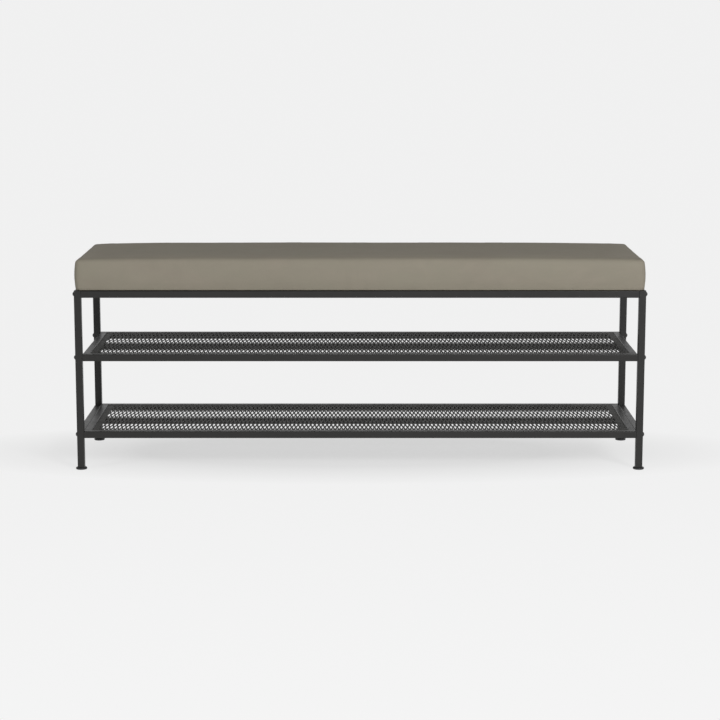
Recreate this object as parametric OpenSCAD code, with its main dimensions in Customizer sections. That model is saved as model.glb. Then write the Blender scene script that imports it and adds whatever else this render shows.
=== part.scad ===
// Entryway bench: welded end frames, bolted seat frame and two mesh shelves, upholstered seat,
// levelling feet. Origin on the floor under the middle of the bench, +Z up, front towards -Y.

/* [Frame] */
// Width over the outer faces of the legs
bench_w = 1220; // [800:10:1600]
// Depth over the front and rear faces of the legs
bench_d = 324; // [260:2:480]
// Height of the top of the steel frame above the floor
frame_top_z = 389; // [340:1:560]
// Height of the underside of the upper shelf's rails
upper_shelf_z = 237; // [180:1:300]
// Height of the underside of the lower shelf's rails
lower_shelf_z = 69; // [50:1:130]

/* [Square tube] */
// Outside size of the tube
tube = 15; // [12.5:0.5:25]
// Wall of the tube
tube_wall = 1.2; // [1:0.1:1.6]
// Radius of the tube's outer corners
tube_corner_r = 1.5; // [0.8:0.1:2.5]

/* [Shelves] */
// Thickness of the mesh sheet
sheet_t = 1.2; // [0.8:0.1:2]
// Depth of the sheet's top face below the top of the rails
sheet_drop = 0.8; // [0.3:0.1:2]
// Height of the sheet's folded edge
sheet_fold_h = 9; // [5:0.5:10]
// Width of the stiffener under the middle of the sheet
stiffener_w = 15; // [10:0.5:25]

/* [Seat] */
// Thickness of the plywood board
board_t = 12; // [9:0.5:18]
// Height of the foam above the board, at the edge of the seat
foam_t = 47; // [30:1:80]
// Thickness of the wadding over the foam
wadding_t = 4; // [2:0.5:8]
// Thickness of the seat cover
cover_t = 1.2; // [0.8:0.1:2.5]
// Thickness of the dust cover under the board
dust_t = 0.5; // [0.3:0.1:1]
// How far the middle of the seat stands above its edge
crown_h = 5.5; // [0:0.5:15]
// Radius of the cushion's top edge
seat_edge_r = 9; // [6:0.5:16]
// Radius of the cushion's upright corners
seat_corner_r = 14; // [10:0.5:30]
// How far the foot of the cushion lies inside the frame's outer faces
seat_foot_inset = 3; // [1:0.5:8]
// How far the top edge of the cushion's wall lies inside the frame's outer faces
seat_shoulder_inset = 2; // [1:0.5:8]
// Width of the cover that is turned in under the board
cover_flap_w = 32; // [26:1:60]
// Distance of each seat cross bar from the middle of the bench
cross_bar_x = 200; // [100:5:350]
// Distance of the seat screws from the middle of the bench's depth
seat_screw_y = 100; // [50:1:110]
// Spacing of the staples, at most
staple_pitch = 62; // [30:1:120]

/* [Bolts] */
// Thread diameter of the frame bolts and seat screws
bolt_d = 5.9; // [4.8:0.1:6.9]
// Radial clearance of a thread or pin in its nut or pad
thread_clear = 0.05; // [0.02:0.01:0.1]
// Radial clearance of a bolt in the holes it passes through
hole_clear = 0.3; // [0.1:0.05:0.6]
// Diameter of the domed bolt head
bolt_head_d = 9.5; // [8:0.1:12]
// Height of the domed bolt head
bolt_head_h = 3.6; // [2.5:0.1:5]
// Length of a frame bolt under its head
bolt_len = 29; // [26:0.5:40]
// Length of the threaded insert in a rail's end
insert_len = 16; // [12:0.5:25]
// Diameter of the seat screw's head
seat_screw_head_d = 11; // [9:0.5:14]
// Height of the seat screw's head
seat_screw_head_h = 2.6; // [2:0.1:4]

/* [Feet] */
// Diameter of the foot pad
pad_d = 24; // [18:0.5:40]
// Height of the foot pad
pad_h = 4; // [3.6:0.1:8]
// Thread diameter of the foot's stud
stud_d = 7.9; // [5.9:0.1:9.9]
// Length of the stud above the pad
stud_len = 28; // [24:0.5:40]
// Diameter of the stud's head inside the pad
stud_head_d = 12; // [10.5:0.5:16]
// Height of the stud's head
stud_head_h = 1.4; // [1:0.1:2]
// Width across the corners of the hex socket in the stud's lower end
stud_socket_d = 5; // [4:0.1:5.5]
// Gap between the pad and the leg when the foot is fully screwed in
pad_gap = 0.3; // [0.2:0.1:1]
// Length of the threaded plug in the leg's bottom
foot_nut_len = 20; // [15:0.5:26]
// Thickness of the plug in the leg's top
top_plug_t = 3; // [2:0.1:3.6]
// Clearance of each plug and insert inside the tube, per side
plug_clear = 0.1; // [0.05:0.05:0.2]

/* [Hidden] */
LEFT = -1;
RIGHT = 1;
FRONT = -1;
REAR = 1;
ENDS = [LEFT, RIGHT];
SIDES = [FRONT, REAR];

tube_inner = tube - 2 * tube_wall;
leg_x = bench_w / 2 - tube / 2;
leg_y = bench_d / 2 - tube / 2;
leg_bottom_z = pad_h + pad_gap;
rail_len = bench_w - 2 * tube;
side_len = bench_d - 2 * tube;
side_rail_x = leg_x - tube;
seat_rail_z = frame_top_z - tube;
bolt_drop = tube / 2;

sheet_l = rail_len - 2 * tube;
stiffener_h = tube - sheet_drop - sheet_t;

seat_z = frame_top_z;
cover_z = seat_z + dust_t;
board_z = cover_z + cover_t;
board_top_z = board_z + board_t;
seat_edge_z = board_top_z + foam_t + wadding_t + cover_t;
seat_top_z = seat_edge_z + crown_h;
// The cushion is widest where it stands flush with the frame's outer faces
seat_wide_z = (cover_z + seat_edge_z) / 2;
seat_foot_round = 3;
soft_gap = 0.3;
crown_run = 110;
seat_slices = 6;

screw_len = tube + dust_t + cover_t + board_t - 1;
tee_flange_d = 17;
tee_flange_t = 1.2;
tee_barrel_wall = 1.2;
tee_barrel_len = 8;

staple_crown = 10;
staple_wire = 0.6;
staple_leg = 7;
staple_inset = 6;

pad_floor_t = 1.2;
pad_chamfer = 0.8;
pad_neck_clear = 0.05;
stud_socket_depth = 5;
key_hole_clear = 1.5;
socket_d = 4;
socket_depth = 2;
slice_t = 0.01;

// ---- Tube and fastener shapes ----

module rounded_rect(w, d, r) {
    square([w, d - 2 * r], center = true);
    square([w - 2 * r, d], center = true);
    for (sx = ENDS, sy = SIDES)
        translate([sx * (w / 2 - r), sy * (d / 2 - r)]) circle(r = r, $fn = 32);
}

module tube_section(w = tube, d = tube) {
    difference() {
        rounded_rect(w, d, tube_corner_r);
        square([w - 2 * tube_wall, d - 2 * tube_wall], center = true);
    }
}

// Tube along X, centred on x = 0, its underside at z = 0
module tube_x(len, w = tube, h = tube) {
    translate([0, 0, h / 2]) rotate([90, 0, 90])
        linear_extrude(len, center = true) tube_section(w, h);
}

// Tube along Y, centred on y = 0, its underside at z = 0
module tube_y(len) {
    translate([0, 0, tube / 2]) rotate([90, 0, 0])
        linear_extrude(len, center = true) tube_section();
}

// Places a child at the middle of each leg
module at_legs(z) {
    for (sx = ENDS, sy = SIDES) translate([sx * leg_x, sy * leg_y, z]) children();
}

// Domed head with its flat face on z = 0, dome towards +Z
module domed_head(d, h) {
    rim_h = h * 0.3;
    dome_r = (d * d / 4 + (h - rim_h) * (h - rim_h)) / (2 * (h - rim_h));
    difference() {
        intersection() {
            cylinder(d = d, h = h, $fn = 48);
            translate([0, 0, h - dome_r]) sphere(r = dome_r, $fn = 96);
        }
        translate([0, 0, h - socket_depth])
            cylinder(d = socket_d, h = socket_depth + 1, $fn = 6);
    }
}

// Bolt whose head seats on z = 0 and whose shank runs down to -len
module bolt(len, head_d, head_h) {
    union() {
        domed_head(head_d, head_h);
        translate([0, 0, -len]) cylinder(d = bolt_d, h = len, $fn = 48);
    }
}

// Square plug on z = 0, with a threaded bore right through
module threaded_plug(len, thread_d) {
    difference() {
        translate([0, 0, len / 2])
            cube([tube_inner - 2 * plug_clear, tube_inner - 2 * plug_clear, len], center = true);
        translate([0, 0, -1])
            cylinder(d = thread_d + 2 * thread_clear, h = len + 2, $fn = 48);
    }
}

// ---- End frames ----

module leg(sx, sy) {
    color("#2e2d2c")
    difference() {
        translate([sx * leg_x, sy * leg_y, leg_bottom_z])
            linear_extrude(frame_top_z - leg_bottom_z) tube_section();
        for (z = [seat_rail_z, upper_shelf_z, lower_shelf_z])
            translate([sx * leg_x, sy * leg_y, z + bolt_drop]) rotate([0, 90, 0])
                cylinder(d = bolt_d + 2 * hole_clear, h = tube + 2, center = true, $fn = 48);
    }
}

module leg_top_plugs() {
    side = tube_inner - 2 * plug_clear;
    color("#202020") at_legs(frame_top_z - top_plug_t / 2)
        cube([side, side, top_plug_t], center = true);
}

module leg_foot_nuts() {
    color("#b9bab8") at_legs(leg_bottom_z) threaded_plug(foot_nut_len, stud_d);
}

module end_tube(sx, z) {
    color("#2e2d2c") translate([sx * leg_x, 0, z]) tube_y(side_len);
}

// ---- Seat frame and shelves ----

module long_rail(sy, z) {
    color("#2e2d2c") translate([0, sy * leg_y, z]) tube_x(rail_len);
}

module side_rail(sx, z) {
    color("#2e2d2c") translate([sx * side_rail_x, 0, z]) tube_y(side_len);
}

// Hole right through a seat frame tube for each seat screw of one bar
module bar_screw_holes(x) {
    for (sy = SIDES) translate([x, sy * seat_screw_y, seat_rail_z - 1])
        cylinder(d = bolt_d + 2 * hole_clear, h = tube + 2, $fn = 48);
}

module seat_side_rail(sx) {
    color("#2e2d2c") difference() {
        translate([sx * side_rail_x, 0, seat_rail_z]) tube_y(side_len);
        bar_screw_holes(sx * side_rail_x);
    }
}

module seat_cross_bar(sx) {
    color("#2e2d2c") difference() {
        translate([sx * cross_bar_x, 0, seat_rail_z]) tube_y(side_len);
        bar_screw_holes(sx * cross_bar_x);
    }
}

module shelf_stiffener(z) {
    color("#2e2d2c") translate([0, 0, z])
        tube_x(sheet_l - 2 * sheet_t, stiffener_w, stiffener_h);
}

// Sheet between the rails, with its four edges folded down against them
module shelf_mesh(z) {
    top = z + tube - sheet_drop;
    color("#3a3938") difference() {
        translate([0, 0, top - sheet_fold_h / 2])
            cube([sheet_l, side_len, sheet_fold_h], center = true);
        translate([0, 0, top - sheet_t - sheet_fold_h / 2])
            cube([sheet_l - 2 * sheet_t, side_len - 2 * sheet_t, sheet_fold_h], center = true);
    }
}

module rail_inserts(z) {
    color("#b9bab8") for (sx = ENDS, sy = SIDES)
        translate([sx * rail_len / 2, sy * leg_y, z + bolt_drop])
            rotate([0, -90 * sx, 0]) threaded_plug(insert_len, bolt_d);
}

module frame_bolts(z) {
    color("#1c1c1c") for (sx = ENDS, sy = SIDES)
        translate([sx * bench_w / 2, sy * leg_y, z + bolt_drop])
            rotate([0, 90 * sx, 0]) bolt(bolt_len, bolt_head_d, bolt_head_h);
}

// ---- Seat ----

// One level of the cushion: a thin rounded plate, edge_in inside the frame's outer faces
module cushion_slice(z, edge_in, inset) {
    r = seat_corner_r - min(inset, seat_corner_r - 2);
    for (sx = ENDS, sy = SIDES)
        translate([sx * (bench_w / 2 - edge_in - inset - r),
                   sy * (bench_d / 2 - edge_in - inset - r), z])
            cylinder(r = r, h = slice_t, $fn = 32);
}

// The cushion's form, or the same form smaller by inset all round
module cushion_form(inset) {
    shoulder_z = seat_edge_z - seat_edge_r;
    hull() {
        cushion_slice(cover_z + inset, seat_foot_inset + seat_foot_round / 2, inset);
        cushion_slice(cover_z + seat_foot_round + inset, seat_foot_inset, inset);
        cushion_slice(seat_wide_z, 0, inset);
        for (i = [0 : seat_slices]) {
            a = 90 * i / seat_slices;
            cushion_slice(shoulder_z + seat_edge_r * sin(a) - inset - slice_t,
                          seat_shoulder_inset + seat_edge_r * (1 - cos(a)), inset);
        }
        cushion_slice(seat_top_z - inset - slice_t, min(crown_run, bench_d / 2 - 20 - inset), inset);
    }
}

module above_board(inset) {
    intersection() {
        cushion_form(inset);
        translate([-bench_w / 2, -bench_d / 2, board_top_z])
            cube([bench_w, bench_d, seat_top_z]);
    }
}

// Places a child under each seat screw
module at_seat_screws(z) {
    for (x = [side_rail_x, cross_bar_x], sx = ENDS, sy = SIDES)
        translate([sx * x, sy * seat_screw_y, z]) children();
}

module seat_board() {
    edge_in = seat_foot_inset + seat_foot_round / 2 + cover_t + soft_gap;
    barrel_d = bolt_d + 2 * tee_barrel_wall;
    color("#c9a878") difference() {
        translate([0, 0, board_z]) linear_extrude(board_t)
            rounded_rect(bench_w - 2 * edge_in, bench_d - 2 * edge_in, seat_corner_r - cover_t);
        at_seat_screws(board_z - 1)
            cylinder(d = barrel_d + 2 * thread_clear, h = board_t + 2, $fn = 48);
        at_seat_screws(board_top_z - tee_flange_t)
            cylinder(d = tee_flange_d + 2 * thread_clear, h = tee_flange_t + 1, $fn = 48);
    }
}

module seat_tee_nuts() {
    barrel_d = bolt_d + 2 * tee_barrel_wall;
    color("#b9bab8") at_seat_screws(board_top_z) difference() {
        union() {
            translate([0, 0, -tee_flange_t]) cylinder(d = tee_flange_d, h = tee_flange_t, $fn = 48);
            translate([0, 0, -tee_barrel_len]) cylinder(d = barrel_d, h = tee_barrel_len, $fn = 48);
        }
        translate([0, 0, -tee_barrel_len - 1])
            cylinder(d = bolt_d + 2 * thread_clear, h = tee_barrel_len + 2, $fn = 48);
    }
}

module seat_screws() {
    color("#b9bab8") at_seat_screws(seat_rail_z) rotate([180, 0, 0])
        bolt(screw_len, seat_screw_head_d, seat_screw_head_h);
}

module seat_foam() {
    color("#e8dfb8") above_board(cover_t + wadding_t + 2 * soft_gap);
}

module seat_wadding() {
    color("#f0f0ee") difference() {
        above_board(cover_t + soft_gap);
        cushion_form(cover_t + soft_gap + wadding_t);
    }
}

// Cover over the top and sides, turned in under the board
module seat_cover() {
    window_in = seat_foot_inset + cover_flap_w;
    color("#918a7d") difference() {
        cushion_form(0);
        cushion_form(cover_t);
        translate([0, 0, cover_z])
            cube([bench_w - 2 * window_in, bench_d - 2 * window_in, 4 * cover_t], center = true);
        at_seat_screws(cover_z - 1)
            cylinder(d = bolt_d + 2 * hole_clear, h = cover_t + 2, $fn = 24);
    }
}

module seat_dust_cover() {
    edge_in = tube * 0.7;
    color("#1d1d1f") difference() {
        translate([0, 0, seat_z]) linear_extrude(dust_t)
            square([bench_w - 2 * edge_in, bench_d - 2 * edge_in], center = true);
        at_seat_screws(seat_z - 1)
            cylinder(d = bolt_d + 2 * hole_clear, h = dust_t + 2, $fn = 48);
    }
}

// Staple with its crown along X, just under z = 0, and its legs up
module staple() {
    translate([0, 0, -staple_wire / 2]) cube([staple_crown, staple_wire, staple_wire], center = true);
    for (s = ENDS)
        translate([s * (staple_crown - staple_wire) / 2, 0, (staple_leg - staple_wire) / 2])
            cube([staple_wire, staple_wire, staple_leg + staple_wire], center = true);
}

// Middles of the staples along one edge, spread evenly and clear of the cross bars
function staple_steps(len) = let (n = ceil(len / staple_pitch))
    [for (i = [0 : n - 1]) len * ((i + 0.5) / n - 0.5)];
function clear_of_bars(x) = abs(abs(x) - cross_bar_x) > tube / 2 + staple_crown / 2 + 1;

module cover_staples() {
    row_y = side_len / 2 - staple_inset;
    row_x = sheet_l / 2 - staple_inset;
    color("#b9bab8") translate([0, 0, seat_z]) {
        for (x = staple_steps(2 * row_x), sy = SIDES)
            if (clear_of_bars(x)) translate([x, sy * row_y, 0]) staple();
        for (y = staple_steps(2 * row_y - staple_crown), sx = ENDS)
            translate([sx * row_x, y, 0]) rotate([0, 0, 90]) staple();
    }
}

// ---- Feet ----

// Threaded stud with a flat head, turned by a hex key from below
module foot_stud(sx, sy) {
    color("#b9bab8") translate([sx * leg_x, sy * leg_y, pad_floor_t]) difference() {
        union() {
            cylinder(d = stud_head_d, h = stud_head_h, $fn = 64);
            cylinder(d = stud_d, h = pad_h - pad_floor_t + stud_len, $fn = 48);
        }
        translate([0, 0, -1]) cylinder(d = stud_socket_d, h = stud_socket_depth + 1, $fn = 6);
    }
}

// Disc with chamfered edges, closed round the stud's head, in which the head can turn
module foot_pad(sx, sy) {
    color("#1f1f1f") translate([sx * leg_x, sy * leg_y, 0]) difference() {
        rotate_extrude($fn = 96) polygon([
            [0, 0], [pad_d / 2 - pad_chamfer, 0], [pad_d / 2, pad_chamfer],
            [pad_d / 2, pad_h - pad_chamfer], [pad_d / 2 - pad_chamfer, pad_h], [0, pad_h]
        ]);
        translate([0, 0, pad_floor_t - pad_neck_clear])
            cylinder(r = stud_head_d / 2 + pad_neck_clear, h = stud_head_h + 2 * pad_neck_clear, $fn = 64);
        translate([0, 0, pad_floor_t])
            cylinder(r = stud_d / 2 + thread_clear, h = pad_h, $fn = 48);
        translate([0, 0, -1])
            cylinder(r = stud_socket_d / 2 + key_hole_clear, h = pad_floor_t + 1, $fn = 48);
    }
}

// ---- Nodes ----

leg(LEFT, FRONT);  // leg_front_left
leg(RIGHT, FRONT);  // leg_front_right
leg(LEFT, REAR);  // leg_rear_left
leg(RIGHT, REAR);  // leg_rear_right
leg_top_plugs();
leg_foot_nuts();
end_tube(LEFT, seat_rail_z);  // upper_end_tube_left
end_tube(RIGHT, seat_rail_z);  // upper_end_tube_right
end_tube(LEFT, lower_shelf_z);  // lower_end_tube_left
end_tube(RIGHT, lower_shelf_z);  // lower_end_tube_right
long_rail(FRONT, seat_rail_z);  // seat_rail_front
long_rail(REAR, seat_rail_z);  // seat_rail_rear
seat_side_rail(LEFT);  // seat_side_rail_left
seat_side_rail(RIGHT);  // seat_side_rail_right
seat_cross_bar(LEFT);  // seat_cross_bar_left
seat_cross_bar(RIGHT);  // seat_cross_bar_right
long_rail(FRONT, upper_shelf_z);  // upper_shelf_rail_front
long_rail(REAR, upper_shelf_z);  // upper_shelf_rail_rear
side_rail(LEFT, upper_shelf_z);  // upper_shelf_side_rail_left
side_rail(RIGHT, upper_shelf_z);  // upper_shelf_side_rail_right
shelf_stiffener(upper_shelf_z);  // upper_shelf_stiffener
shelf_mesh(upper_shelf_z);  // upper_shelf_mesh
long_rail(FRONT, lower_shelf_z);  // lower_shelf_rail_front
long_rail(REAR, lower_shelf_z);  // lower_shelf_rail_rear
side_rail(LEFT, lower_shelf_z);  // lower_shelf_side_rail_left
side_rail(RIGHT, lower_shelf_z);  // lower_shelf_side_rail_right
shelf_stiffener(lower_shelf_z);  // lower_shelf_stiffener
shelf_mesh(lower_shelf_z);  // lower_shelf_mesh
rail_inserts(seat_rail_z);  // seat_rail_inserts
rail_inserts(upper_shelf_z);  // upper_shelf_inserts
rail_inserts(lower_shelf_z);  // lower_shelf_inserts
frame_bolts(seat_rail_z);  // seat_frame_bolts
frame_bolts(upper_shelf_z);  // upper_shelf_bolts
frame_bolts(lower_shelf_z);  // lower_shelf_bolts
seat_board();
seat_foam();
seat_wadding();
seat_cover();
seat_dust_cover();
cover_staples();
seat_tee_nuts();
seat_screws();
foot_stud(LEFT, FRONT);  // foot_stud_front_left
foot_stud(RIGHT, FRONT);  // foot_stud_front_right
foot_stud(LEFT, REAR);  // foot_stud_rear_left
foot_stud(RIGHT, REAR);  // foot_stud_rear_right
foot_pad(LEFT, FRONT);  // foot_pad_front_left
foot_pad(RIGHT, FRONT);  // foot_pad_front_right
foot_pad(LEFT, REAR);  // foot_pad_rear_left
foot_pad(RIGHT, REAR);  // foot_pad_rear_right
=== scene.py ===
"""Looks for the entryway bench: its steel finish, mesh shelves, padded seat, feet and studio."""

import math
import random

import bmesh
import bpy
import numpy as np
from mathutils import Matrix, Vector, noise
from mathutils.kdtree import KDTree


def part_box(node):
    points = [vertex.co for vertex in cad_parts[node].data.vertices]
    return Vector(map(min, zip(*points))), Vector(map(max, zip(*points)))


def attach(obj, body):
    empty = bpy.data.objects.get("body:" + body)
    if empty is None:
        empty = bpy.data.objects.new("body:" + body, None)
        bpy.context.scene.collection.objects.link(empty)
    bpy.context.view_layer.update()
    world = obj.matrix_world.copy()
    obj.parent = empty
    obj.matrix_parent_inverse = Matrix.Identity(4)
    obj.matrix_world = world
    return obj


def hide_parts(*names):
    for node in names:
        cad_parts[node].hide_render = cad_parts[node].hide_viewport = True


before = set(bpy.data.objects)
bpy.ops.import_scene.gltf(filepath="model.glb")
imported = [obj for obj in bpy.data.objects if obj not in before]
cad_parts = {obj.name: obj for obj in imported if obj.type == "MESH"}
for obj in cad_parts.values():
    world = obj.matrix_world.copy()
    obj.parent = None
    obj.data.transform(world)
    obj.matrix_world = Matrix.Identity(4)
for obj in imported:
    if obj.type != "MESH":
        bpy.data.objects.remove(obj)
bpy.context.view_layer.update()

bl_info = {
    "name": "Entryway Bench",
    "version": (1, 0, 0),
    "blender": (4, 5, 0),
    "location": "3D View > Sidebar > Bench",
    "description": "Builds the finishes and soft parts of an entryway bench around its frame",
    "category": "Add Mesh",
}

MM = 0.001
ENDS = [(f"{depth}_{side}", sx, sy) for depth, sy in (("front", -1), ("rear", 1))
        for side, sx in (("left", -1), ("right", 1))]
SHELVES = ("upper_shelf", "lower_shelf")
STEEL_NODES = (
    [f"leg_{end}" for end, _, _ in ENDS]
    + [f"{level}_end_tube_{side}" for level in ("upper", "lower") for side in ("left", "right")]
    + [f"seat_{part}" for part in ("rail_front", "rail_rear", "side_rail_left", "side_rail_right",
                                   "cross_bar_left", "cross_bar_right")]
    + [f"{shelf}_{part}" for shelf in SHELVES
       for part in ("rail_front", "rail_rear", "side_rail_left", "side_rail_right", "stiffener")]
)
ZINC_NODES = ("leg_foot_nuts", "seat_rail_inserts", "upper_shelf_inserts", "lower_shelf_inserts",
              "seat_tee_nuts", "seat_screws", "cover_staples")
BOLT_NODES = ("seat_frame_bolts", "upper_shelf_bolts", "lower_shelf_bolts")


# ---- Shader fields ----

class Field:
    """One node socket that takes part in arithmetic: each operator adds a Math node."""

    def __init__(self, shade, socket):
        self.shade = shade
        self.socket = socket

    def math(self, operation, *values):
        sockets = {name: value for name, value in zip(("Value_001", "Value_002"), values)}
        return self.shade.node("ShaderNodeMath", {"operation": operation}, {"Value": self, **sockets})

    def __add__(self, other):
        return self.math("ADD", other)

    def __sub__(self, other):
        return self.math("SUBTRACT", other)

    def __mul__(self, other):
        return self.math("MULTIPLY", other)

    def __truediv__(self, other):
        return self.math("DIVIDE", other)

    def __pow__(self, other):
        return self.math("POWER", other)

    def __rsub__(self, other):
        return self.math("MULTIPLY_ADD", -1.0, other)

    def __neg__(self):
        return self.math("MULTIPLY", -1.0)

    def __gt__(self, other):
        return self.math("GREATER_THAN", other)

    __radd__ = __add__
    __rmul__ = __mul__

    def between(self, low, high):
        """0 at or below low, 1 at or above high, and straight between them."""
        return self.shade.node("ShaderNodeMapRange", {"clamp": True},
                               {"Value": self, "From Min": low, "From Max": high})


class Shade:
    """A material's node tree around one Principled shader."""

    def __init__(self, name, **constants):
        self.material = bpy.data.materials.new(name)
        self.material.use_nodes = True
        self.tree = self.material.node_tree
        self.shader = self.tree.nodes["Principled BSDF"]
        for socket, value in constants.items():
            self.shader.inputs[socket.replace("_", " ")].default_value = value
        self.place = self.node("ShaderNodeTexCoord", out="Object")

    def node(self, kind, settings=None, inputs=None, out=0):
        """Adds one node. Settings come first; an input is a number, a colour, a vector or a Field."""
        made = self.tree.nodes.new(kind)
        for key, value in (settings or {}).items():
            setattr(made, key, value)
        for key, value in (inputs or {}).items():
            socket = next(s for s in made.inputs if key in (s.identifier, s.name) and s.enabled)
            if isinstance(value, Field):
                self.tree.links.new(value.socket, socket)
            else:
                socket.default_value = value
        if isinstance(out, str):
            return Field(self, made.outputs[out])
        return Field(self, [s for s in made.outputs if s.enabled][out])

    def stretched(self, x=1.0, y=1.0, z=1.0):
        """Object coordinates scaled along each axis, for a pattern that runs one way."""
        return self.node("ShaderNodeMapping", {}, {"Vector": self.place, "Scale": (x, y, z)})

    def noise(self, scale, detail=2.0, roughness=0.5, vector=None, distortion=0.0):
        """Soft noise of so many waves a metre."""
        return self.node("ShaderNodeTexNoise", {}, {
            "Vector": vector or self.place, "Scale": scale, "Detail": detail,
            "Roughness": roughness, "Distortion": distortion})

    def cells(self, scale, feature="F1"):
        """Distance in a pattern of so many cells a metre."""
        return self.node("ShaderNodeTexVoronoi", {"feature": feature}, {
            "Vector": self.place, "Scale": scale}, out="Distance")

    def axes(self):
        """The object coordinates X, Y and Z, in metres."""
        return [self.node("ShaderNodeSeparateXYZ", {}, {"Vector": self.place}, out=axis) for axis in "XYZ"]

    def mix(self, factor, a, b):
        """Colour a where the factor is 0 and colour b where it is 1."""
        return self.node("ShaderNodeMix", {"data_type": "RGBA"}, {
            "Factor_Float": factor, "A_Color": a, "B_Color": b})

    def feed(self, socket, field):
        """Leads a field into one of the shader's sockets."""
        self.tree.links.new(field.socket, self.shader.inputs[socket])

    def bump(self, height, distance, strength=1.0, normal=None):
        """A bump on the shader's normal; returns it so that a finer one can stand on it."""
        inputs = {"Height": height, "Distance": distance, "Strength": strength}
        if normal:
            inputs["Normal"] = normal
        made = self.node("ShaderNodeBump", {}, inputs)
        self.feed("Normal", made)
        return made


def rgb(colour, factor=1.0):
    """A colour, made lighter or darker, as a node takes it."""
    return tuple(channel * factor for channel in colour[:3]) + (1.0,)


def grey(tone):
    return (tone, tone, tone, 1.0)


def dress(nodes, material):
    """Gives CAD nodes a finish."""
    for name in nodes:
        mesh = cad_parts[name].data
        mesh.materials.clear()
        mesh.materials.append(material)


class Sky(Shade):
    """The same node methods on a world's tree, which has no Principled shader."""

    def __init__(self, tree):
        self.tree = tree


# ---- Finishes ----

def powder_coat(name, colour, roughness, peel, gloss=0.5):
    """Baked powder: a faint cloud and a fine grain, over the ripple called orange peel."""
    shade = Shade(name, IOR=1.45, Specular_IOR_Level=gloss)
    cloud = shade.noise(6.0, 3.0)
    grain = shade.noise(900.0, 2.0)
    tone = cloud.between(0.3, 0.7) * 0.6 + grain.between(0.3, 0.7) * 0.4
    shade.feed("Base Color", shade.mix(tone, rgb(colour, 0.82), rgb(colour, 1.2)))
    shade.feed("Roughness", shade.noise(40.0, 3.0).between(0.2, 0.8) * 0.12 + (roughness - 0.06))
    ripple = shade.bump(shade.noise(420.0, 1.0), 0.06 * MM, peel)
    shade.bump(grain, 0.02 * MM, peel, ripple)
    return shade.material


def zinc_plate(name, colour=(0.62, 0.62, 0.60)):
    """Bright zinc with yellowish stains and a fine drawn grain."""
    shade = Shade(name, Metallic=1.0)
    stain = shade.noise(180.0, 4.0).between(0.35, 0.7)
    stained = (colour[0], colour[1] * 0.97, colour[2] * 0.9)
    shade.feed("Base Color", shade.mix(stain, rgb(colour), rgb(stained, 0.8)))
    shade.feed("Roughness", shade.noise(260.0, 3.0) * 0.25 + 0.22)
    drawn = shade.noise(1500.0, 2.0, vector=shade.stretched(z=0.15))
    shade.bump(drawn, 0.02 * MM, 0.6)
    return shade.material


def black_oxide(name, colour=(0.012, 0.012, 0.013)):
    """Blackened bolts, a little rubbed."""
    shade = Shade(name, IOR=1.5)
    rub = shade.noise(220.0, 3.0).between(0.4, 0.8)
    shade.feed("Base Color", shade.mix(rub, rgb(colour), rgb(colour, 2.0)))
    shade.feed("Roughness", rub * 0.15 + 0.3)
    shade.bump(shade.noise(1600.0, 2.0), 0.015 * MM, 0.6)
    return shade.material


def moulded_plastic(name, colour=(0.017, 0.017, 0.018)):
    """Black plastic with the pitted grain of its mould."""
    shade = Shade(name, IOR=1.46)
    pits = shade.cells(1300.0)
    shade.feed("Base Color", shade.mix(shade.noise(60.0, 3.0), rgb(colour, 0.8), rgb(colour, 1.35)))
    shade.feed("Roughness", pits * 0.3 + 0.42)
    shade.bump(pits, 0.05 * MM, 0.5)
    return shade.material


def plywood(name, ply_t):
    """Birch plies: long grain on the faces, and layers that show on the edges."""
    shade = Shade(name)
    _, _, z = shade.axes()
    streak = shade.noise(60.0, 5.0, 0.6, shade.stretched(x=0.06), 0.4)
    ply = (z / ply_t).math("FRACT")
    glue = (ply - 0.5).math("ABSOLUTE") > 0.46
    odd = (z / (2.0 * ply_t)).math("FRACT") > 0.5
    wood = shade.mix(streak.between(0.3, 0.7), (0.50, 0.34, 0.19, 1.0), (0.66, 0.49, 0.30, 1.0))
    layered = shade.mix(odd * 0.35, wood, (0.36, 0.23, 0.12, 1.0))
    shade.feed("Base Color", shade.mix(glue * 0.6, layered, (0.10, 0.06, 0.03, 1.0)))
    shade.feed("Roughness", streak * 0.2 + 0.55)
    shade.bump(streak, 0.2 * MM, 0.5)
    return shade.material


def open_foam(name):
    """Yellow foam with open pores, their hollows painted darker as painted shade."""
    shade = Shade(name)
    pores = shade.cells(520.0)
    # Painted shade: the pore hollows get a darker yellow than the pore walls.
    wall, shaded_hollow = (0.82, 0.75, 0.50, 1.0), (0.50, 0.42, 0.22, 1.0)
    shade.feed("Base Color", shade.mix(pores.between(0.1, 0.6), shaded_hollow, wall))
    shade.feed("Roughness", pores * 0.1 + 0.85)
    shade.bump(pores, 0.6 * MM, 0.8)
    return shade.material


def fibre_wadding(name):
    """White tangled fibre, painted darker where the tangle lies lower, as painted shade."""
    shade = Shade(name)
    tangle = shade.noise(420.0, 6.0, 0.7, distortion=1.6)
    # Painted shade: the deep tone darkens the fibre where the tangle's bump lies lower.
    deep, light = (0.68, 0.68, 0.66, 1.0), (0.88, 0.88, 0.86, 1.0)
    shade.feed("Base Color", shade.mix(tangle.between(0.3, 0.7), deep, light))
    shade.feed("Roughness", tangle * 0.1 + 0.88)
    shade.bump(tangle, 0.7 * MM, 0.8)
    return shade.material


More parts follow.
